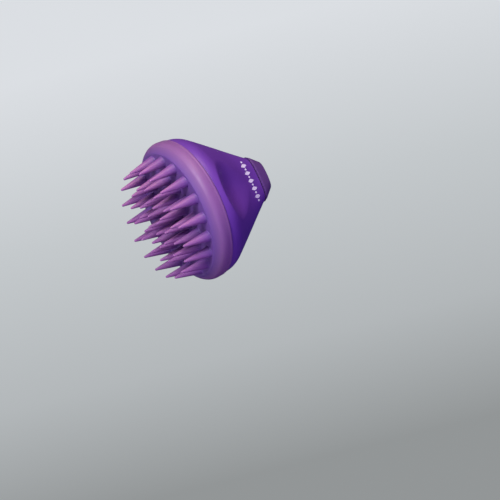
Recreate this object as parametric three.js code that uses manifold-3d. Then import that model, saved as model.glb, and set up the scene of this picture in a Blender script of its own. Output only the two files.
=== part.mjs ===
// A palm-held rubber curry comb: a soft tooth pad hooked over a rigid plate, a hollow plastic
// handle screwed to that plate, and a bevelled cap that plugs the top of the handle.
// Units are millimetres. +Z runs from the tooth tips to the cap, and the tips stand on z = 0.
// The handle is widest along X, and a shallow dish for the thumb is sunk into its -Y and +Y faces.
import * as THREE from 'three';
import { mergeVertices } from 'three/addons/utils/BufferGeometryUtils.js';
import Module from 'manifold-3d';

// Teeth
const TOOTH_LENGTH = 16.6;
const TOOTH_BASE_RADIUS = 3.5;
const TOOTH_TIP_RADIUS = 0.75;
const TOOTH_TIP_FLAT = 0.4;
const TOOTH_TIP_HEIGHT = 0.55;
const TOOTH_ROOT = 0.8;
const TOOTH_SPREAD = 0.03;
const TOOTH_SIDES = 8;
const TOOTH_RINGS = [
  { count: 18, radius: 32.5, phase: 4 },
  { count: 14, radius: 22.4, phase: 2 },
  { count: 10, radius: 13.4, phase: 14 },
  { count: 4, radius: 5.6, phase: 0 },
];

// Pad
const FLOOR_Z = TOOTH_LENGTH;
const FLOOR_THICKNESS = 3;
const FLOOR_EDGE_RADIUS = 37.9;
const RIM_START_RADIUS = 40.2;
const RIM_RADIUS = 42.4;
const RIM_ROUND = 5.2;
const RIM_WALL_ROUND = 8;
const RIM_WIDEST_Z = 23.1;
const RIM_TOP_Z = 27.1;
const RIM_TOP_CHAMFER = 0.4;
const RIM_STEPS = 10;
const LIP_REACH = 2.4;

// Plate
const GAP = 0.3;
const PLATE_RADIUS = 38.2;
const PLATE_THICKNESS = 3;
const PLATE_Z = FLOOR_Z + FLOOR_THICKNESS + GAP;
const PLATE_TOP_Z = PLATE_Z + PLATE_THICKNESS;
const RIB_RADIUS = 31;
const RIB_WIDTH = 1.6;
const RIB_HEIGHT = 2;

// Screws and their bosses
const SCREW_PITCH_RADIUS = 23;
const SCREW_ANGLES = [45, 135, 225, 315];
const SHANK_RADIUS = 1.3;
const SHANK_END_Z = 32;
const HEAD_RADIUS = 2.7;
const HEAD_HEIGHT = 1.4;
const SLOT_LENGTH = 4;
const SLOT_WIDTH = 0.7;
const SLOT_DEPTH = 0.6;
const BOSS_RADIUS = 3.6;
const BOSS_BORE_END_Z = 34;
const BAR_SIDES = 20;
const SHANK_SIDES = 12;

// Handle shell
const SHELL_BASE_Z = RIM_TOP_Z + GAP;
const FLANGE_TOP_Z = SHELL_BASE_Z + 4;
const SHELL_TOP_Z = 70.4;
const NECK_START_Z = 41;
const FLANGE_STEPS = 9;
const NECK_STEPS = 11;
const CAVITY_STEPS = 12;
const FLANGE_RADIUS = 41.4;
const NECK_HALF_WIDTH = 13.4;
const NECK_FLATTENING = 0.45;
const NECK_SQUARENESS = 0.8;
const CONE_SLOPE = 0.745;
const SHOULDER_BLEND = 3;
const SCOOP_LIP_Z = 32.2;
const SCOOP_FLARE = 25;
const SCOOP_FALL = 8;
const SCOOP_FLOOR_DEPTH = 17;
const SCOOP_DISH_RADIUS = 18;
const SCOOP_BLEND = 5;
const SCOOP_MIN_SINE = 0.02;
const WALL_SIDE = 1.6;
const WALL_DROP = 2;

// Cap
const CAP_BASE_Z = SHELL_TOP_Z + GAP;
const CAP_SIDE_HEIGHT = 0.8;
const CAP_BEVEL_Z = 77.9;
const CAP_TOP_Z = 78.5;
const CAP_TOP_HALF_WIDTH = 8.2;
const CAP_TOP_HALF_DEPTH = 4;
const CAP_TOP_POWER = 2.6;
const CAP_FLAT_SCALE = 0.8;
const PLUG_BOTTOM_Z = 65;
const PLUG_WALL = 1.4;
const PLUG_CEILING_Z = 72.4;

const AROUND = 60;
const { degToRad, clamp, smoothstep, lerp } = THREE.MathUtils;

const wasm = await Module();
wasm.setup();

// Closed geometry to a solid that can be joined and cut.
function toSolid(geometry) {
  const bare = geometry.clone();
  bare.deleteAttribute('normal');
  bare.deleteAttribute('uv');
  const merged = mergeVertices(bare, 1e-5);
  const triVerts = dropFlatTriangles(merged.index.array);
  const vertProperties = new Float32Array(merged.attributes.position.array);
  return new wasm.Manifold(new wasm.Mesh({ numProp: 3, vertProperties, triVerts }));
}

// A lathe's end points on the axis leave triangles with two corners in one place.
function dropFlatTriangles(index) {
  const kept = [];
  for (let i = 0; i < index.length; i += 3) {
    const [a, b, c] = [index[i], index[i + 1], index[i + 2]];
    if (a !== b && b !== c && c !== a) kept.push(a, b, c);
  }
  return new Uint32Array(kept);
}

function toGeometry(solid) {
  const { vertProperties, triVerts } = solid.getMesh();
  const geometry = new THREE.BufferGeometry();
  geometry.setAttribute('position', new THREE.BufferAttribute(new Float32Array(vertProperties), 3));
  geometry.setIndex(new THREE.BufferAttribute(new Uint32Array(triVerts), 1));
  geometry.computeVertexNormals();
  return geometry;
}

// Turns a profile of [radius, z] points about Z. It starts low on the axis and ends high on it.
function turned(profile, segments = AROUND) {
  const points = profile.map(([radius, z]) => new THREE.Vector2(radius, z));
  return new THREE.LatheGeometry(points, segments).rotateX(Math.PI / 2);
}

// Skins a stack of rings, each a list of points. The ends are joined to each other or closed flat.
function lofted(rings, joinEnds) {
  const count = rings[0].length;
  const positions = rings.flat().flatMap((p) => [p.x, p.y, p.z]);
  const index = [];
  const bands = joinEnds ? rings.length : rings.length - 1;
  for (let band = 0; band < bands; band += 1) {
    const low = band * count;
    const high = ((band + 1) % rings.length) * count;
    for (let i = 0; i < count; i += 1) {
      const next = (i + 1) % count;
      index.push(low + i, low + next, high + next, low + i, high + next, high + i);
    }
  }
  if (!joinEnds) {
    const last = (rings.length - 1) * count;
    for (let i = 1; i < count - 1; i += 1) {
      index.push(0, i + 1, i);
      index.push(last, last + i, last + i + 1);
    }
  }
  const geometry = new THREE.BufferGeometry();
  geometry.setAttribute('position', new THREE.Float32BufferAttribute(positions, 3));
  geometry.setIndex(index);
  return geometry;
}

// One ring of points at height z, from a radius that depends on the angle.
function ring(z, radiusAt) {
  return Array.from({ length: AROUND }, (_, i) => {
    const angle = (2 * Math.PI * i) / AROUND;
    const radius = radiusAt(angle);
    return new THREE.Vector3(radius * Math.cos(angle), radius * Math.sin(angle), z);
  });
}

function smoothMin(a, b, blend) {
  const h = clamp(0.5 + (0.5 * (b - a)) / blend, 0, 1);
  return lerp(b, a, h) - blend * h * (1 - h);
}

// Radius of a rounded oblong with the given half sizes. Power 2 is an ellipse.
function oblongRadius(angle, halfWidth, halfDepth, power) {
  const across = Math.abs(Math.cos(angle) / halfWidth) ** power;
  const along = Math.abs(Math.sin(angle) / halfDepth) ** power;
  return (across + along) ** (-1 / power);
}

// Radius at which the floor of the thumb dish is met. It grows without end towards X.
function scoopRadius(angle, z) {
  const depth = SCOOP_FLOOR_DEPTH + SCOOP_FLARE * Math.exp((SCOOP_LIP_Z - z) / SCOOP_FALL);
  const sine = Math.max(Math.abs(Math.sin(angle)), SCOOP_MIN_SINE);
  const sideways = (depth * Math.cos(angle)) / sine;
  return (depth + sideways ** 2 / (2 * SCOOP_DISH_RADIUS)) / sine;
}

// Outer radius of the handle: a cylinder that turns into a cone, flattened towards the neck.
function handleRadius(angle, z) {
  const cone = NECK_HALF_WIDTH + CONE_SLOPE * (SHELL_TOP_Z - z);
  const halfWidth = smoothMin(FLANGE_RADIUS, cone, SHOULDER_BLEND);
  const flattening = smoothstep(z, FLANGE_TOP_Z, SHELL_TOP_Z);
  const halfDepth = halfWidth * (1 - NECK_FLATTENING * flattening);
  const body = oblongRadius(angle, halfWidth, halfDepth, 2 + NECK_SQUARENESS * flattening);
  return smoothMin(body, scoopRadius(angle, z), SCOOP_BLEND);
}

// The inside of the wall is the outside, moved down and in.
function cavityRadius(angle, z) {
  return handleRadius(angle, z + WALL_DROP) - WALL_SIDE;
}

function toothSolid() {
  const top = TOOTH_LENGTH + TOOTH_ROOT;
  const profile = [
    [0, 0],
    [TOOTH_TIP_FLAT, 0],
    [TOOTH_TIP_RADIUS, TOOTH_TIP_HEIGHT],
    [TOOTH_BASE_RADIUS, TOOTH_LENGTH],
    [TOOTH_BASE_RADIUS, top],
    [0, top],
  ];
  return turned(profile, TOOTH_SIDES);
}

function placedTeeth() {
  return TOOTH_RINGS.flatMap(({ count, radius, phase }) => {
    const lean = (radius * TOOTH_SPREAD) / TOOTH_LENGTH;
    const shear = new THREE.Matrix4().makeShear(0, 0, 0, 0, lean, 0);
    return Array.from({ length: count }, (_, i) => {
      const tooth = toothSolid().applyMatrix4(shear).translate(radius, 0, 0);
      return toSolid(tooth.rotateZ(degToRad(phase + (360 * i) / count)));
    });
  });
}

// The outside of the rim: a quarter round below its widest point and a taller oval above it.
function rimOutline() {
  const centre = RIM_RADIUS - RIM_ROUND;
  const start = -Math.acos((RIM_START_RADIUS - centre) / RIM_ROUND);
  const end = Math.asin((RIM_TOP_Z - RIM_TOP_CHAMFER - RIM_WIDEST_Z) / RIM_WALL_ROUND);
  return Array.from({ length: RIM_STEPS + 1 }, (_, i) => {
    const angle = lerp(start, end, i / RIM_STEPS);
    const height = angle < 0 ? RIM_ROUND : RIM_WALL_ROUND;
    return [centre + RIM_ROUND * Math.cos(angle), RIM_WIDEST_Z + height * Math.sin(angle)];
  });
}

function padSolid() {
  const floorTop = FLOOR_Z + FLOOR_THICKNESS;
  const plateEdge = PLATE_RADIUS + GAP;
  const lipEdge = plateEdge - LIP_REACH;
  const outline = rimOutline();
  const profile = [
    [0, FLOOR_Z],
    [FLOOR_EDGE_RADIUS, FLOOR_Z],
    ...outline,
    [outline.at(-1)[0] - RIM_TOP_CHAMFER, RIM_TOP_Z],
    [lipEdge, RIM_TOP_Z],
    [lipEdge, PLATE_TOP_Z + GAP],
    [plateEdge, PLATE_TOP_Z + GAP],
    [plateEdge, floorTop],
    [0, floorTop],
  ];
  return placedTeeth().reduce((pad, tooth) => pad.add(tooth), toSolid(turned(profile)));
}

// A round bar on Z at one of the screw positions.
function barAtScrew(angle, radius, lowZ, highZ, sides = BAR_SIDES) {
  const bar = turned([[0, lowZ], [radius, lowZ], [radius, highZ], [0, highZ]], sides);
  return toSolid(bar.translate(SCREW_PITCH_RADIUS, 0, 0).rotateZ(degToRad(angle)));
}

function plateSolid() {
  const ribTop = PLATE_TOP_Z + RIB_HEIGHT;
  const profile = [
    [0, PLATE_Z],
    [PLATE_RADIUS, PLATE_Z],
    [PLATE_RADIUS, PLATE_TOP_Z],
    [RIB_RADIUS, PLATE_TOP_Z],
    [RIB_RADIUS, ribTop],
    [RIB_RADIUS - RIB_WIDTH, ribTop],
    [RIB_RADIUS - RIB_WIDTH, PLATE_TOP_Z],
    [0, PLATE_TOP_Z],
  ];
  const seat = PLATE_Z + GAP + HEAD_HEIGHT + GAP;
  return SCREW_ANGLES.reduce((plate, angle) => {
    const hole = barAtScrew(angle, SHANK_RADIUS + GAP, PLATE_Z - 1, PLATE_TOP_Z + 1);
    const recess = barAtScrew(angle, HEAD_RADIUS + GAP, PLATE_Z - 1, seat);
    return plate.subtract(hole).subtract(recess);
  }, toSolid(turned(profile)));
}

function screwSolid(angle) {
  const low = PLATE_Z + GAP;
  const head = barAtScrew(angle, HEAD_RADIUS, low, low + HEAD_HEIGHT);
  const shank = barAtScrew(angle, SHANK_RADIUS, low + HEAD_HEIGHT / 2, SHANK_END_Z, SHANK_SIDES);
  const slot = new THREE.BoxGeometry(SLOT_LENGTH, SLOT_WIDTH, 2 * SLOT_DEPTH);
  const cross = new THREE.BoxGeometry(SLOT_WIDTH, SLOT_LENGTH, 2 * SLOT_DEPTH);
  return [slot, cross].reduce((screw, box) => {
    const cutter = box.translate(SCREW_PITCH_RADIUS, 0, low).rotateZ(degToRad(angle));
    return screw.subtract(toSolid(cutter));
  }, head.add(shank));
}

function heights(low, high, steps) {
  return Array.from({ length: steps + 1 }, (_, i) => lerp(low, high, i / steps));
}

function shellSolid() {
  const flange = heights(SHELL_BASE_Z, NECK_START_Z, FLANGE_STEPS);
  const neck = heights(NECK_START_Z, SHELL_TOP_Z, NECK_STEPS).slice(1);
  const outside = [...flange, ...neck].map((z) => ring(z, (angle) => handleRadius(angle, z)));
  const inside = heights(SHELL_TOP_Z, SHELL_BASE_Z, CAVITY_STEPS).map((z) => (
    ring(z, (angle) => cavityRadius(angle, z))));
  const filled = toSolid(lofted(outside, false));
  const wall = toSolid(lofted([...outside, ...inside], true));
  const bossLow = PLATE_TOP_Z + GAP;
  return SCREW_ANGLES.reduce((shell, angle) => {
    const upper = barAtScrew(angle, BOSS_RADIUS, SHELL_BASE_Z, SHELL_TOP_Z).intersect(filled);
    const lower = barAtScrew(angle, BOSS_RADIUS, bossLow, SHELL_BASE_Z + 1);
    const bore = barAtScrew(angle, SHANK_RADIUS + GAP, bossLow - 1, BOSS_BORE_END_Z);
    return shell.add(upper).add(lower).subtract(bore);
  }, wall);
}

// The cap's outline, from the handle's section (0) to the small oblong at the bevel's top (1).
function capRadius(angle, share) {
  const top = oblongRadius(angle, CAP_TOP_HALF_WIDTH, CAP_TOP_HALF_DEPTH, CAP_TOP_POWER);
  return lerp(handleRadius(angle, SHELL_TOP_Z), top, share);
}

function plugRadius(angle, inset) {
  return cavityRadius(angle, SHELL_TOP_Z) - GAP - inset;
}

function capSolid() {
  const rings = [
    ring(PLUG_CEILING_Z, (angle) => plugRadius(angle, PLUG_WALL)),
    ring(PLUG_BOTTOM_Z, (angle) => plugRadius(angle, PLUG_WALL)),
    ring(PLUG_BOTTOM_Z, (angle) => plugRadius(angle, 0)),
    ring(CAP_BASE_Z, (angle) => plugRadius(angle, 0)),
    ring(CAP_BASE_Z, (angle) => capRadius(angle, 0)),
    ring(CAP_BASE_Z + CAP_SIDE_HEIGHT, (angle) => capRadius(angle, 0)),
    ring(CAP_BEVEL_Z, (angle) => capRadius(angle, 1)),
    ring(CAP_TOP_Z, (angle) => CAP_FLAT_SCALE * capRadius(angle, 1)),
  ];
  return toSolid(lofted(rings, false));
}

function material(color, roughness, metalness = 0) {
  return new THREE.MeshStandardMaterial({ color, roughness, metalness });
}

function part(name, solid, look) {
  const mesh = new THREE.Mesh(toGeometry(solid), look);
  mesh.name = name;
  return mesh;
}

const curryComb = new THREE.Group();
curryComb.add(part('tooth_pad', padSolid(), material('#93609f', 0.5)));
curryComb.add(part('backing_plate', plateSolid(), material('#54347c', 0.6)));
curryComb.add(part('handle_shell', shellSolid(), material('#552a88', 0.3)));
curryComb.add(part('top_cap', capSolid(), material('#6b4a8c', 0.35)));
SCREW_ANGLES.forEach((angle, i) => {
  curryComb.add(part(`screw_${i + 1}`, screwSolid(angle), material('#b4b6ba', 0.3, 1)));
});

export default curryComb;
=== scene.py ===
"""A palm-held rubber curry comb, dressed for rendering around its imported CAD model.

The CAD gives the places and sizes. This script makes the fine surfaces: the rubber tooth pad, the
violet handle, its cap and the marks printed on its neck. It gives every piece its material and sets a
plain pale studio round them.
The object's lengths are in millimetres here, and plain_piece() turns them into Blender's metres. The
studio's lengths are in metres.
"""

import math
import random

import bmesh
import bpy
from mathutils import Matrix, Vector


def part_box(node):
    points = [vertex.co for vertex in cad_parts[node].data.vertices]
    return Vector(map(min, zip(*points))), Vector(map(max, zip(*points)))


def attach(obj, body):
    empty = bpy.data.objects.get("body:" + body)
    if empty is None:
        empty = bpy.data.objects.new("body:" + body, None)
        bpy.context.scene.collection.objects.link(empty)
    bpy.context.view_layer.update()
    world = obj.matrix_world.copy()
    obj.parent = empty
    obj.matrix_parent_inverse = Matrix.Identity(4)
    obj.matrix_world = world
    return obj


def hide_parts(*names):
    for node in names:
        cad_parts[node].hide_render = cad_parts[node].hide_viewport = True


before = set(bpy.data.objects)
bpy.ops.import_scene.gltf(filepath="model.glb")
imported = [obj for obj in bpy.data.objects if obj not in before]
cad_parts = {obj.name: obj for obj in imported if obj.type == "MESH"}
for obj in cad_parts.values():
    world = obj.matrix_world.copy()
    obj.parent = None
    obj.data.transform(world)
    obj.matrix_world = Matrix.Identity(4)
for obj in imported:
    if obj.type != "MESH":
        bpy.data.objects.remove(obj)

MM = 0.001
TAU = 2 * math.pi
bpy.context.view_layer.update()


def high_corner(name):
    """The highest corner of a CAD node's box, in millimetres."""
    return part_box(name)[1] / MM


PAD_HIGH = high_corner("tooth_pad")
SHELL_HIGH = high_corner("handle_shell")
CAP_HIGH = high_corner("top_cap")
PLATE_HIGH = high_corner("backing_plate")

# Teeth. Their tips stand on z = 0, and their feet on the pad's floor.
FLOOR_Z = 16.6
TOOTH_TIP_RADIUS = 0.7
TOOTH_BASE_RADIUS = 3.5
TOOTH_FILLET = 0.4
TOOTH_SPREAD = 0.03
TOOTH_WANDER = 0.25
TOOTH_SEED = 7
TOOTH_SIDES = 36
TIP_STEPS = 5
SHANK_STEPS = 10
# Each ring's number of teeth, its radius at their tips, and the angle of its first tooth in degrees.
TOOTH_RINGS = ((18, 32.5, 4), (14, 22.4, 2), (10, 13.4, 14), (4, 5.6, 0))

# Pad
GAP = 0.3
FLOOR_EDGE_RADIUS = 37.8
FLOOR_EDGE_MARGIN = 0.5
FLOOR_EDGE_ROUND = 0.6
FLOOR_THICKNESS = 3
STEP_ROUND = 1.4
STEP_JOIN = 8
RIM_START_RADIUS = 40.2
RIM_RADIUS = PAD_HIGH.x
RIM_ROUND = 5.2
RIM_WALL_ROUND = 8
RIM_WIDEST_Z = 23.1
RIM_TOP_Z = PAD_HIGH.z
RIM_TOP_DROP = 0.1
RIM_STEPS = 56
LIP_REACH = 2.4
LIP_ROUND = 0.4
POCKET_ROUND = 0.3
PLATE_THICKNESS = 3
POCKET_TOP_Z = FLOOR_Z + FLOOR_THICKNESS + GAP + PLATE_THICKNESS + GAP
BEAD_RISE = 0.3
BEAD_START_DROP = 1.8
BEAD_FULL_DROP = 0.45

# Handle
SHELL_BASE_Z = RIM_TOP_Z + GAP
SHELL_TOP_Z = SHELL_HIGH.z
FLANGE_HEIGHT = 4
FLANGE_RADIUS = 41.4
NECK_HALF_WIDTH = 13.4
NECK_FLATTENING = 0.45
NECK_SQUARENESS = 0.8
CONE_SLOPE = 0.745
SHOULDER_BLEND = 3
SCOOP_LIP_Z = 32.2
SCOOP_FLARE = 25
SCOOP_FALL = 8
SCOOP_FLOOR_DEPTH = 17
SCOOP_DISH_RADIUS = 18
SCOOP_BLEND = 5
SCOOP_MIN_SINE = 0.02
WALL_SIDE = 1.6
WALL_DROP = 2
SHELL_EDGE_ROUND = 0.35
SHELL_BANDS = 150
CAVITY_BANDS = 60

# Screw bosses inside the handle
BOSS_ANGLES = (45, 135, 225, 315)
BOSS_PITCH_RADIUS = 23
BOSS_RADIUS = 3.6
BOSS_BORE_RADIUS = 1.6
BOSS_BORE_END_Z = 34
BOSS_BITE = 1
BOSS_SIDES = 36

# Cap
CAP_BASE_Z = SHELL_TOP_Z + GAP
CAP_TOP_Z = CAP_HIGH.z
CAP_PROUD = 0.1
CAP_SIDE_HEIGHT = 1.1
CAP_BEVEL_DROP = 0.45
CAP_BASE_ROUND = 0.5
CAP_SIDE_ROUND = 0.8
CAP_BEVEL_ROUND = 0.6
CAP_CROWN_REACH = 2.2
CAP_CROWN_DROP = 0.1
CAP_CROWN_ROUND = 1.2
CAP_FLAT_REACH = 5.5
CAP_TOP_HALF_WIDTH = 8.2
CAP_TOP_HALF_DEPTH = 4
CAP_TOP_POWER = 2.6
CAP_BEVEL = NECK_HALF_WIDTH - CAP_TOP_HALF_WIDTH
PLUG_BOTTOM_Z = 65
PLUG_CEILING_Z = 72.4
PLUG_WALL = 1.4

# Print below the cap: a mark in the middle and some on each side of it. Sizes are (half width, half height).
PRINT_Z = 63.6
PRINT_EACH_SIDE = 5
PRINT_STEP = 2.4
PRINT_LOZENGE = (1.2, 2.5)
PRINT_DOT = (0.6, 0.8)
LOZENGE_POWER = 1.25
DOT_POWER = 2
PRINT_RISE = 0.04
PRINT_DEPTH = 0.1
PRINT_INNER_SIZE = 0.5
PRINT_SIDES = 24

# All meshes
AROUND = 256
ROUNDING_STEPS = 5
HALVINGS = 30
SHARP_ANGLE = math.radians(45)


# ---- Shapes --------------------------------------------------------------------------------

def lerp(a, b, share):
    return a + (b - a) * share


def clamp(value, low=0.0, high=1.0):
    return max(low, min(high, value))


def smoothstep(value, low, high):
    t = clamp((value - low) / (high - low))
    return t * t * (3 - 2 * t)


def smooth_min(a, b, blend):
    h = clamp(0.5 + 0.5 * (b - a) / blend)
    return lerp(b, a, h) - blend * h * (1 - h)


def oblong_radius(angle, half_width, half_depth, power):
    """Radius of a rounded oblong. Power 2 is an ellipse, and power 1 a lozenge."""
    across = abs(math.cos(angle) / half_width) ** power
    along = abs(math.sin(angle) / half_depth) ** power
    return (across + along) ** (-1 / power)


def scoop_radius(angle, z):
    """Radius at which the floor of the thumb dish is met. It grows very large towards X."""
    depth = SCOOP_FLOOR_DEPTH + SCOOP_FLARE * math.exp((SCOOP_LIP_Z - z) / SCOOP_FALL)
    sine = max(abs(math.sin(angle)), SCOOP_MIN_SINE)
    sideways = depth * math.cos(angle) / sine
    return (depth + sideways ** 2 / (2 * SCOOP_DISH_RADIUS)) / sine


def handle_radius(angle, z):
    """Outer radius of the handle: a cylinder that turns into a cone, flattened towards the neck, with a
    thumb dish on each of its two faces."""
    cone = NECK_HALF_WIDTH + CONE_SLOPE * (SHELL_TOP_Z - z)
    half_width = smooth_min(FLANGE_RADIUS, cone, SHOULDER_BLEND)
    flattening = smoothstep(z, SHELL_BASE_Z + FLANGE_HEIGHT, SHELL_TOP_Z)
    half_depth = half_width * (1 - NECK_FLATTENING * flattening)
    body = oblong_radius(angle, half_width, half_depth, 2 + NECK_SQUARENESS * flattening)
    return smooth_min(body, scoop_radius(angle, z), SCOOP_BLEND)


def cavity_radius(angle, z):
    """The inside of the handle's wall is the outside, moved down and in."""
    return handle_radius(angle, z + WALL_DROP) - WALL_SIDE


def cap_radius(angle, across):
    """The cap's outline, some way in from the handle's section, or out from it if across is below 0.
    Over CAP_BEVEL it turns into the small oblong at the cap's top. From there on that oblong shrinks."""
    share = min(across / CAP_BEVEL, 1)
    shrink = 1 - max(across - CAP_BEVEL, 0) / CAP_TOP_HALF_WIDTH
    top = oblong_radius(angle, CAP_TOP_HALF_WIDTH, CAP_TOP_HALF_DEPTH, CAP_TOP_POWER)
    return shrink * lerp(handle_radius(angle, SHELL_TOP_Z), top, share)


def last_inside(inside, outside, is_inside):
    """How far is_inside still holds on the way from a place inside to one outside, by halving."""
    for _ in range(HALVINGS):
        middle = 0.5 * (inside + outside)
        if is_inside(middle):
            inside = middle
        else:
            outside = middle
    return inside


def rounded_path(corners, steps=ROUNDING_STEPS):
    """A path through (across, up, rounding) corners, with each corner rounded off by that length."""
    path = []
    for i, (across, up, rounding) in enumerate(corners):
        here = Vector((across, up))
        if not rounding or i in (0, len(corners) - 1):
            path.append(here)
            continue
        before = Vector(corners[i - 1][:2])
        after = Vector(corners[i + 1][:2])
        reach_in = min(rounding, 0.5 * (before - here).length)
        reach_out = min(rounding, 0.5 * (after - here).length)
        start = here + (before - here).normalized() * reach_in
        end = here + (after - here).normalized() * reach_out
        for step in range(steps + 1):
            t = step / steps
            path.append(start * (1 - t) ** 2 + here * 2 * t * (1 - t) + end * t ** 2)
    return path


# ---- Mesh helpers --------------------------------------------------------------------------

def ring(bm, z, radius_at, centre=(0, 0), count=AROUND):
    """A closed loop of vertices at height z. radius_at is a number or a function of the angle."""
    made = []
    for i in range(count):
        angle = TAU * i / count
        radius = radius_at(angle) if callable(radius_at) else radius_at
        point = (centre[0] + radius * math.cos(angle), centre[1] + radius * math.sin(angle), z)
        made.append(bm.verts.new(point))
    return made


def skin(bm, rings, join_ends=False):
    """Quads between neighbouring rings, in order."""
    pairs = list(zip(rings, rings[1:]))
    if join_ends:
        pairs.append((rings[-1], rings[0]))
    for low, high in pairs:
        for i in range(len(low)):
            j = (i + 1) % len(low)
            bm.faces.new((low[i], low[j], high[j], high[i]))


def cap_off(bm, loop, z):
    """A fan from a loop to a point on the loop's own centre line."""
    centre = sum((v.co for v in loop), Vector()) / len(loop)
    middle = bm.verts.new((centre.x, centre.y, z))
    for i in range(len(loop)):
        bm.faces.new((loop[i], loop[(i + 1) % len(loop)], middle))


def plain_piece(name, bm, material):
    """Turns a bmesh in millimetres into a smooth piece on the root body."""
    bmesh.ops.recalc_face_normals(bm, faces=bm.faces)
    bmesh.ops.scale(bm, vec=(MM, MM, MM), verts=bm.verts)
    mesh = bpy.data.meshes.new(name)
    bm.to_mesh(mesh)
    bm.free()
    mesh.shade_smooth()
    mesh.set_sharp_from_angle(angle=SHARP_ANGLE)
    mesh.materials.append(material)
    piece = bpy.data.objects.new(name, mesh)
    bpy.context.scene.collection.objects.link(piece)
    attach(piece, "root")
    return piece


def mesh_piece(name, bm, node, material):
    """A piece that stands for one CAD node and takes its finish from one slot."""
    piece = plain_piece(name, bm, material)
    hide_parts(node)
    return piece


# ---- Tooth pad -----------------------------------------------------------------------------

def tooth_profile():
    """(radius, z) points of a tooth, from its rounded tip to the floor that it stands on."""
    slope = (TOOTH_BASE_RADIUS - TOOTH_TIP_RADIUS) / FLOOR_Z
    points = []
    for step in range(1, TIP_STEPS + 1):
        turn = step / TIP_STEPS * (math.pi / 2 - math.atan(slope))
        points.append((TOOTH_TIP_RADIUS * math.sin(turn), TOOTH_TIP_RADIUS * (1 - math.cos(turn))))
    foot_height = 2 * TOOTH_FILLET
    tip_radius, tip_end = points[-1]
    for step in range(1, SHANK_STEPS + 1):
        z = lerp(tip_end, FLOOR_Z - foot_height, step / SHANK_STEPS)
        points.append((tip_radius + slope * (z - tip_end), z))
    radius, shank_end = points[-1]
    foot = rounded_path([
        (radius, shank_end, 0),
        (radius + slope * foot_height, FLOOR_Z, foot_height),
        (radius + slope + TOOTH_FILLET, FLOOR_Z, 0),
    ])
    return points + [(p.x, p.y) for p in foot[1:]]


def add_tooth(bm, radius, angle, wander, profile):
    """One leaning tooth. Returns the loop of vertices where it meets the floor."""
    outward = Vector((math.cos(angle), math.sin(angle), 0))
    foot = outward * radius * (1 + TOOTH_SPREAD)
    tip = outward * radius + wander
    loops = []
    for size, z in profile:
        centre = tip.lerp(foot, z / FLOOR_Z)
        loops.append(ring(bm, z, size, (centre.x, centre.y), TOOTH_SIDES))
    skin(bm, loops)
    cap_off(bm, loops[0], 0)
    return loops[-1]


def rim_outline():
    """The rim's outside: an arc below its widest point, and above it a taller oval with a bead along its
    top edge."""
    centre = RIM_RADIUS - RIM_ROUND
    start = -math.acos((RIM_START_RADIUS - centre) / RIM_ROUND)
    end = math.asin((RIM_TOP_Z - RIM_TOP_DROP - RIM_WIDEST_Z) / RIM_WALL_ROUND)
    corners = []
    for step in range(RIM_STEPS + 1):
        angle = lerp(start, end, step / RIM_STEPS)
        height = RIM_ROUND if angle < 0 else RIM_WALL_ROUND
        z = RIM_WIDEST_Z + height * math.sin(angle)
        bead = BEAD_RISE * smoothstep(z, RIM_TOP_Z - BEAD_START_DROP, RIM_TOP_Z - BEAD_FULL_DROP)
        corners.append((centre + RIM_ROUND * math.cos(angle) + bead, z))
    return corners


def build_pad(material):
    """The teeth, the floor between them, the rim, the lip over the plate's edge and the floor's far side."""
    bm = bmesh.new()
    draw = random.Random(TOOTH_SEED)
    profile = tooth_profile()
    feet = []
    for count, radius, phase in TOOTH_RINGS:
        for i in range(count):
            wander = Vector((draw.uniform(-1, 1), draw.uniform(-1, 1), 0)) * TOOTH_WANDER
            angle = math.radians(phase + 360 * i / count)
            feet.append(add_tooth(bm, radius, angle, wander, profile))

    floor_radius = FLOOR_EDGE_RADIUS - FLOOR_EDGE_MARGIN
    floor_edge = ring(bm, FLOOR_Z, floor_radius)
    loops = [floor_edge, *feet]
    edges = [bm.edges.get((loop[i], loop[i - 1])) or bm.edges.new((loop[i], loop[i - 1]))
             for loop in loops for i in range(len(loop))]
    bmesh.ops.triangle_fill(bm, edges=edges, use_beauty=True, normal=(0, 0, -1))

    outline = rim_outline()
    floor_top = FLOOR_Z + FLOOR_THICKNESS
    plate_edge = PLATE_HIGH.x + GAP
    step = rounded_path([
        (floor_radius, FLOOR_Z, 0),
        (FLOOR_EDGE_RADIUS, FLOOR_Z, FLOOR_EDGE_ROUND),
        (*outline[0], STEP_ROUND),
        (*outline[STEP_JOIN], 0),
    ], steps=7)
    inner = rounded_path([
        (*outline[-1], 0),
        (outline[-1][0] - RIM_TOP_DROP, RIM_TOP_Z, POCKET_ROUND),
        (plate_edge - LIP_REACH, RIM_TOP_Z, LIP_ROUND),
        (plate_edge - LIP_REACH, POCKET_TOP_Z, LIP_ROUND),
        (plate_edge, POCKET_TOP_Z, POCKET_ROUND),
        (plate_edge, floor_top, POCKET_ROUND),
        (0.5 * plate_edge, floor_top, 0),
    ])
    path = [(p.x, p.y) for p in step[1:]] + outline[STEP_JOIN + 1:] + [(p.x, p.y) for p in inner[1:]]
    rims = [floor_edge] + [ring(bm, z, radius) for radius, z in path]
    skin(bm, rims)
    cap_off(bm, rims[-1], floor_top)
    return mesh_piece("pad_rubber", bm, "tooth_pad", material)


# ---- Handle and cap ------------------------------------------------------------------------

def ceiling_z(x, y):
    """Where the handle's inner wall passes over a place inside it."""
    reach = math.hypot(x, y)
    angle = math.atan2(y, x)
    return last_inside(SHELL_BASE_Z, SHELL_TOP_Z, lambda z: reach < cavity_radius(angle, z))


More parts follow.
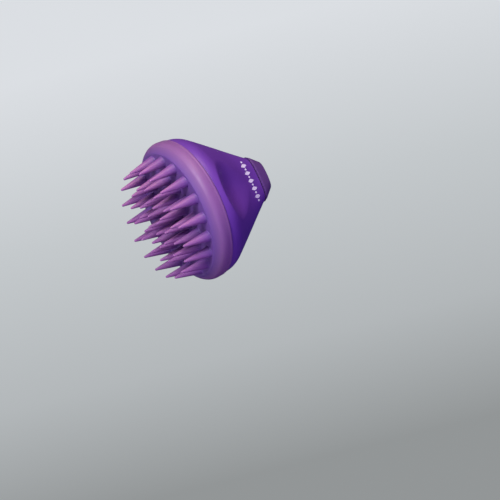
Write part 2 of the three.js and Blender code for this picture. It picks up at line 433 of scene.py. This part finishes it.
def add_boss(bm, degrees):
    """A bored post for one screw. It hangs from the handle's inner wall and bites into it."""
    turn = math.radians(degrees)
    centre = (BOSS_PITCH_RADIUS * math.cos(turn), BOSS_PITCH_RADIUS * math.sin(turn))
    bore = [ring(bm, z, BOSS_BORE_RADIUS, centre, BOSS_SIDES) for z in (BOSS_BORE_END_Z, POCKET_TOP_Z)]
    post = [ring(bm, z, BOSS_RADIUS, centre, BOSS_SIDES) for z in (POCKET_TOP_Z, SHELL_TOP_Z)]
    for vertex in post[-1]:
        vertex.co.z = ceiling_z(vertex.co.x, vertex.co.y) + BOSS_BITE
    skin(bm, bore + post)
    cap_off(bm, bore[0], BOSS_BORE_END_Z)
    cap_off(bm, post[-1], ceiling_z(*centre) + BOSS_BITE)


def build_handle(material):
    """The hollow handle: up its outside, with both edges rounded, down its inside, and four bosses."""
    bm = bmesh.new()
    edge = SHELL_EDGE_ROUND
    turns = [math.radians(degrees) for degrees in (0, 30, 60, 90)]
    bends = [(edge * (1 - math.cos(turn)), edge * (1 - math.sin(turn))) for turn in turns]
    foot = [(SHELL_BASE_Z + rise, inset) for rise, inset in bends]
    head = [(SHELL_TOP_Z - rise, inset) for rise, inset in reversed(bends)]
    between = [(lerp(foot[-1][0], head[0][0], i / SHELL_BANDS), 0) for i in range(1, SHELL_BANDS)]
    outside = [ring(bm, z, lambda angle, z=z, inset=inset: handle_radius(angle, z) - inset)
               for z, inset in foot + between + head]
    heights = [lerp(SHELL_TOP_Z, SHELL_BASE_Z, i / CAVITY_BANDS) for i in range(CAVITY_BANDS + 1)]
    inside = [ring(bm, z, lambda angle, z=z: cavity_radius(angle, z)) for z in heights]
    skin(bm, outside + inside, join_ends=True)
    for degrees in BOSS_ANGLES:
        add_boss(bm, degrees)
    return mesh_piece("handle_plastic", bm, "handle_shell", material)


def build_cap(material):
    """The cap: down the inside of its hollow plug, up the outside, out over the neck, and up the bevel to
    the flat."""
    bm = bmesh.new()
    outline = rounded_path([
        (-WALL_SIDE, CAP_BASE_Z, 0),
        (-CAP_PROUD, CAP_BASE_Z, CAP_BASE_ROUND),
        (-CAP_PROUD, CAP_BASE_Z + CAP_SIDE_HEIGHT, CAP_SIDE_ROUND),
        (CAP_BEVEL, CAP_TOP_Z - CAP_BEVEL_DROP, CAP_BEVEL_ROUND),
        (CAP_BEVEL + CAP_CROWN_REACH, CAP_TOP_Z - CAP_CROWN_DROP, CAP_CROWN_ROUND),
        (CAP_BEVEL + CAP_FLAT_REACH, CAP_TOP_Z, 0),
    ], steps=8)
    plug = [(PLUG_CEILING_Z, GAP + PLUG_WALL), (PLUG_BOTTOM_Z, GAP + PLUG_WALL),
            (PLUG_BOTTOM_Z, GAP), (CAP_BASE_Z, GAP)]
    rings = [ring(bm, z, lambda angle, inset=inset: cavity_radius(angle, SHELL_TOP_Z) - inset)
             for z, inset in plug]
    for across, up in outline[1:]:
        rings.append(ring(bm, up, lambda angle, across=across: cap_radius(angle, across)))
    skin(bm, rings)
    cap_off(bm, rings[0], PLUG_CEILING_Z)
    cap_off(bm, rings[-1], CAP_TOP_Z)
    return mesh_piece("cap_plastic", bm, "top_cap", material)


def surface_y(x, z):
    """Where the handle's near face lies, at a place across it and up it."""
    def is_inside(depth):
        return math.hypot(x, depth) < handle_radius(math.atan2(-depth, x), z)
    return -last_inside(0.0, FLANGE_RADIUS, is_inside)


def add_mark(bm, middle, size, power):
    """One thin mark of ink on the handle's near face, with its back sunk into the face."""
    loops = []
    for share, rise in ((1, -PRINT_DEPTH), (1, PRINT_RISE), (PRINT_INNER_SIZE, PRINT_RISE)):
        loop = []
        for step in range(PRINT_SIDES):
            angle = TAU * step / PRINT_SIDES
            reach = share * oblong_radius(angle, *size, power)
            x = middle + reach * math.cos(angle)
            z = PRINT_Z + reach * math.sin(angle)
            loop.append(bm.verts.new((x, surface_y(x, z) - rise, z)))
        loops.append(loop)
    skin(bm, loops)
    bm.faces.new(loops[0])
    bm.faces.new(loops[-1])


def build_print(material):
    """A row of small white lozenges and dots, printed across the near face below the cap."""
    bm = bmesh.new()
    for i in range(-PRINT_EACH_SIDE, PRINT_EACH_SIDE + 1):
        size, power = (PRINT_LOZENGE, LOZENGE_POWER) if i % 2 == 0 else (PRINT_DOT, DOT_POWER)
        add_mark(bm, i * PRINT_STEP, size, power)
    return plain_piece("neck_print", bm, material)


# ---- Materials -----------------------------------------------------------------------------

# The rubber's colour by height, in shares of RUBBER_RAMP_TOP: tips, teeth, floor, rim. The pinker tips are
# painted light shining through the thin rubber, and the darker, bluer lower teeth and floor are painted
# shade deep among the teeth.
RUBBER_RAMP_TOP = 20
RUBBER_AND_PAINTED_LIGHT_BY_HEIGHT = (
    (0.0, (0.34, 0.13, 0.32)),
    (0.35, (0.285, 0.107, 0.285)),
    (0.7, (0.2, 0.075, 0.275)),
    (0.84, (0.145, 0.062, 0.265)),
    (1.0, (0.235, 0.1, 0.27)),
)
# The dark and light shade of each mottled colour.
RUBBER_TINTS = ((0.93, 0.93, 0.95), (1, 1, 1))
HANDLE_SHADES = ((0.13, 0.041, 0.29), (0.146, 0.048, 0.32))
CAP_SHADES = ((0.11, 0.05, 0.18), (0.125, 0.058, 0.2))
PLATE_SHADES = ((0.07, 0.03, 0.16), (0.09, 0.04, 0.2))
INK_SHADES = ((0.78, 0.76, 0.84), (0.86, 0.84, 0.9))
ZINC_SHADES = ((0.5, 0.5, 0.52), (0.66, 0.66, 0.67))
PAPER_SHADES = ((0.74, 0.8, 0.64), (0.77, 0.83, 0.67))
# The noise values at which the dark shade ends and the light one starts.
MOTTLE_STOPS = (0.3, 0.7)
# The Mix node's colour sockets, which share their names with its other sockets.
MIX_A = 6
MIX_B = 7
MIX_RESULT = 2


def set_sockets(node, values):
    """Sets input sockets by name. Underscores stand for the spaces in the names."""
    for socket, value in values.items():
        node.inputs[socket.replace("_", " ")].default_value = value


def new_material(name, **sockets):
    """A material, its node tree and its Principled shader."""
    material = bpy.data.materials.new(name)
    material.use_nodes = True
    tree = material.node_tree
    shader = tree.nodes["Principled BSDF"]
    set_sockets(shader, sockets)
    return material, tree, shader


def add_node(tree, kind, **sockets):
    node = tree.nodes.new(kind)
    set_sockets(node, sockets)
    return node


def noise(tree, scale, detail=3):
    """Noise over a piece, in the piece's own coordinates. Scale is in waves per metre."""
    place = add_node(tree, "ShaderNodeTexCoord")
    node = add_node(tree, "ShaderNodeTexNoise", Scale=scale, Detail=detail)
    tree.links.new(place.outputs["Object"], node.inputs["Vector"])
    return node.outputs["Fac"]


def map_range(tree, value, **limits):
    node = add_node(tree, "ShaderNodeMapRange", **limits)
    tree.links.new(value, node.inputs["Value"])
    return node.outputs["Result"]


def ramp(tree, factor, stops):
    """A colour ramp through (position, colour) stops."""
    node = add_node(tree, "ShaderNodeValToRGB")
    elements = node.color_ramp.elements
    while len(elements) < len(stops):
        elements.new(0.5)
    for element, (position, colour) in zip(elements, stops):
        element.position = position
        element.color = (*colour, 1)
    tree.links.new(factor, node.inputs["Fac"])
    return node.outputs["Color"]


def mottle(tree, shades, scale, detail=3):
    """A colour that wanders from one shade to another."""
    return ramp(tree, noise(tree, scale, detail), tuple(zip(MOTTLE_STOPS, shades)))


def mix_node(tree, blend_type):
    node = tree.nodes.new("ShaderNodeMix")
    node.data_type = "RGBA"
    node.blend_type = blend_type
    return node


def vary_roughness(tree, shader, low, high, scale, detail=3):
    roughness = map_range(tree, noise(tree, scale, detail), To_Min=low, To_Max=high)
    tree.links.new(roughness, shader.inputs["Roughness"])


def bump(tree, shader, height, depth, strength):
    node = add_node(tree, "ShaderNodeBump", Distance=depth, Strength=strength)
    tree.links.new(height, node.inputs["Height"])
    tree.links.new(node.outputs["Normal"], shader.inputs["Normal"])


def rubber():
    """Soft lilac rubber, with painted light and shade in its colour: pinker at the thin tooth tips as
    painted light shining through them, and darker and bluer towards the floor between the teeth as painted
    shade.
    """
    material, tree, shader = new_material(
        "pad_rubber",
        Roughness=0.5,
        IOR=1.5,
        Subsurface_Weight=0.15,
        Subsurface_Scale=0.002,
        Subsurface_Radius=(1.0, 0.35, 1.0),
    )
    place = add_node(tree, "ShaderNodeTexCoord")
    split = add_node(tree, "ShaderNodeSeparateXYZ")
    tree.links.new(place.outputs["Object"], split.inputs["Vector"])
    height = map_range(tree, split.outputs["Z"], From_Max=RUBBER_RAMP_TOP * MM)
    mix = mix_node(tree, "MULTIPLY")
    mix.inputs["Factor"].default_value = 1
    # The height ramp paints light onto the tooth tips and shade onto the lower teeth and the floor between
    # them.
    tree.links.new(ramp(tree, height, RUBBER_AND_PAINTED_LIGHT_BY_HEIGHT), mix.inputs[MIX_A])
    tree.links.new(mottle(tree, RUBBER_TINTS, scale=60), mix.inputs[MIX_B])
    tree.links.new(mix.outputs[MIX_RESULT], shader.inputs["Base Color"])
    vary_roughness(tree, shader, low=0.44, high=0.56, scale=250)
    bump(tree, shader, noise(tree, scale=2600, detail=2), depth=0.00001, strength=0.3)
    return material


def satin_plastic(name, shades, roughness):
    """Smooth moulded plastic with slight flow marks and a gentle orange peel."""
    material, tree, shader = new_material(name, Roughness=roughness, IOR=1.5)
    tree.links.new(mottle(tree, shades, scale=45, detail=2), shader.inputs["Base Color"])
    vary_roughness(tree, shader, low=roughness - 0.04, high=roughness + 0.06, scale=180, detail=4)
    bump(tree, shader, noise(tree, scale=500, detail=2), depth=0.00003, strength=0.25)
    return material


def white_ink():
    """White pad-printed ink."""
    material, tree, shader = new_material("white_ink", Roughness=0.45)
    tree.links.new(mottle(tree, INK_SHADES, scale=400), shader.inputs["Base Color"])
    vary_roughness(tree, shader, low=0.4, high=0.5, scale=900)
    return material


def zinc_steel():
    material, tree, shader = new_material("zinc_steel", Roughness=0.35, Metallic=1.0)
    tree.links.new(mottle(tree, ZINC_SHADES, scale=900), shader.inputs["Base Color"])
    vary_roughness(tree, shader, low=0.28, high=0.42, scale=1500)
    return material


def floor_paper():
    material, tree, shader = new_material("floor_paper", Roughness=0.9)
    tree.links.new(mottle(tree, PAPER_SHADES, scale=2), shader.inputs["Base Color"])
    return material


def dress_node(name, material):
    """A CAD node whose shape is right keeps its mesh and gets a better material."""
    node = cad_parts[name]
    node.data.materials.clear()
    node.data.materials.append(material)


# ---- Studio --------------------------------------------------------------------------------

VIEW_ELEVATION = math.radians(-25)
VIEW_ROLL = math.radians(65.15)
VIEW_DISTANCE = 2.2
NEAR_CLIP = 0.05
PIXELS_PER_METRE = 1750
IMAGE_SIZE = 500
SENSOR_MM = 36
# Where the row frame's origin is seen, in shares of the picture from its middle.
ORIGIN_RIGHT = -0.1956
ORIGIN_UP = 0.048
# The backdrop's colours, from the low right of the picture (0) to its top left (1).
BACKDROP = (
    (0.05, (0.29, 0.305, 0.31)),
    (0.3, (0.45, 0.475, 0.49)),
    (0.6, (0.55, 0.58, 0.6)),
    (0.95, (0.71, 0.735, 0.77)),
)
BACKDROP_TILT = 0.25
ROOM = (0.03, 0.02, 0.1)
OBJECT_MIDDLE = Vector((0, 0, 0.035))
LAMP_DISTANCE = 1
SKY_SPREAD = math.radians(40)
FLOOR_SIZE = 16
FLOOR_DEPTH = 1.6
SCREW_COUNT = 4


def view_axes():
    """The picture's right, up and backward directions in the row frame."""
    back = Vector((0, -math.cos(VIEW_ELEVATION), math.sin(VIEW_ELEVATION)))
    level_up = Vector((0, math.sin(VIEW_ELEVATION), math.cos(VIEW_ELEVATION)))
    level_right = Vector((1, 0, 0))
    right = level_right * math.cos(VIEW_ROLL) + level_up * math.sin(VIEW_ROLL)
    up = level_up * math.cos(VIEW_ROLL) - level_right * math.sin(VIEW_ROLL)
    return right, up, back


RIGHT, UP, BACK = view_axes()


def add_camera():
    data = bpy.data.cameras.new("camera")
    data.sensor_width = SENSOR_MM
    data.lens = PIXELS_PER_METRE * VIEW_DISTANCE * SENSOR_MM / IMAGE_SIZE
    data.clip_start = NEAR_CLIP
    camera = bpy.data.objects.new("camera", data)
    bpy.context.scene.collection.objects.link(camera)
    metres = IMAGE_SIZE / PIXELS_PER_METRE
    aim = -RIGHT * ORIGIN_RIGHT * metres - UP * ORIGIN_UP * metres
    turn = Matrix((RIGHT, UP, BACK)).transposed().to_4x4()
    camera.matrix_world = Matrix.Translation(aim + BACK * VIEW_DISTANCE) @ turn
    bpy.context.scene.camera = camera


def add_light(name, kind, direction, energy, colour):
    """A light that shines at the object from a direction."""
    data = bpy.data.lights.new(name, kind)
    data.energy = energy
    data.color = colour
    light = bpy.data.objects.new(name, data)
    light.rotation_euler = (-direction).to_track_quat("-Z", "Y").to_euler()
    bpy.context.scene.collection.objects.link(light)
    return light


def add_lamp(name, direction, size, power, colour):
    """A round lamp, LAMP_DISTANCE from the middle of the object."""
    away = direction.normalized()
    light = add_light(name, "AREA", away, power, colour)
    light.location = OBJECT_MIDDLE + away * LAMP_DISTANCE
    light.data.shape = "DISK"
    light.data.size = size


def add_sky_light(name, direction, strength, colour):
    """Broad light from far off. It fills shadows, and the object's gloss doesn't mirror it."""
    light = add_light(name, "SUN", direction, strength, colour)
    light.data.angle = SKY_SPREAD
    light.visible_glossy = False


def add_lights():
    key = BACK * 0.82 + UP * 0.41 - RIGHT * 0.41
    top = BACK * 0.42 + UP * 0.91
    fill = BACK * 0.82 - UP * 0.57
    sky = BACK * 0.45 + RIGHT * 0.8 + UP * 0.35
    add_lamp("key", key, size=0.4, power=10.5, colour=(0.8, 0.84, 0.93))
    add_lamp("top", top, size=0.5, power=5.5, colour=(1, 0.7, 0.5))
    add_lamp("fill", fill, size=0.8, power=3.6, colour=(0.6, 0.36, 1))
    add_sky_light("sky", sky, strength=1, colour=(0.55, 0.42, 1))
    add_sky_light("back", -BACK, strength=1.7, colour=(1, 0.98, 0.95))


def ray_along(tree, axis):
    """The share of the ray's direction that lies along an axis."""
    place = tree.nodes.new("ShaderNodeTexCoord")
    dot = tree.nodes.new("ShaderNodeVectorMath")
    dot.operation = "DOT_PRODUCT"
    dot.inputs[1].default_value = axis
    tree.links.new(place.outputs["Generated"], dot.inputs[0])
    return dot.outputs["Value"]


def add_world():
    """A pale backdrop that grades across the picture. It lights the object only as a dim room would."""
    world = bpy.data.worlds.new("studio")
    world.use_nodes = True
    tree = world.node_tree
    half_view = 0.5 * IMAGE_SIZE / PIXELS_PER_METRE / VIEW_DISTANCE
    across = ray_along(tree, UP - RIGHT * BACKDROP_TILT)
    grading = map_range(tree, across, From_Min=-half_view, From_Max=half_view)
    seen = tree.nodes.new("ShaderNodeLightPath").outputs["Is Camera Ray"]
    mix = mix_node(tree, "MIX")
    tree.links.new(seen, mix.inputs["Factor"])
    mix.inputs[MIX_A].default_value = (*ROOM, 1)
    tree.links.new(ramp(tree, grading, BACKDROP), mix.inputs[MIX_B])
    tree.links.new(mix.outputs[MIX_RESULT], tree.nodes["Background"].inputs["Color"])
    bpy.context.scene.world = world


def add_floor():
    bpy.ops.mesh.primitive_plane_add(size=FLOOR_SIZE, location=(0, 0, -FLOOR_DEPTH))
    floor = bpy.context.object
    floor.name = "floor"
    floor.data.materials.append(floor_paper())


build_pad(rubber())
build_handle(satin_plastic("handle_plastic", HANDLE_SHADES, roughness=0.4))
build_cap(satin_plastic("cap_plastic", CAP_SHADES, roughness=0.4))
build_print(white_ink())
dress_node("backing_plate", satin_plastic("plate_plastic", PLATE_SHADES, roughness=0.5))
steel = zinc_steel()
for number in range(1, SCREW_COUNT + 1):
    dress_node(f"screw_{number}", steel)
add_camera()
add_lights()
add_world()
add_floor()
bpy.context.scene.view_settings.view_transform = "Standard"
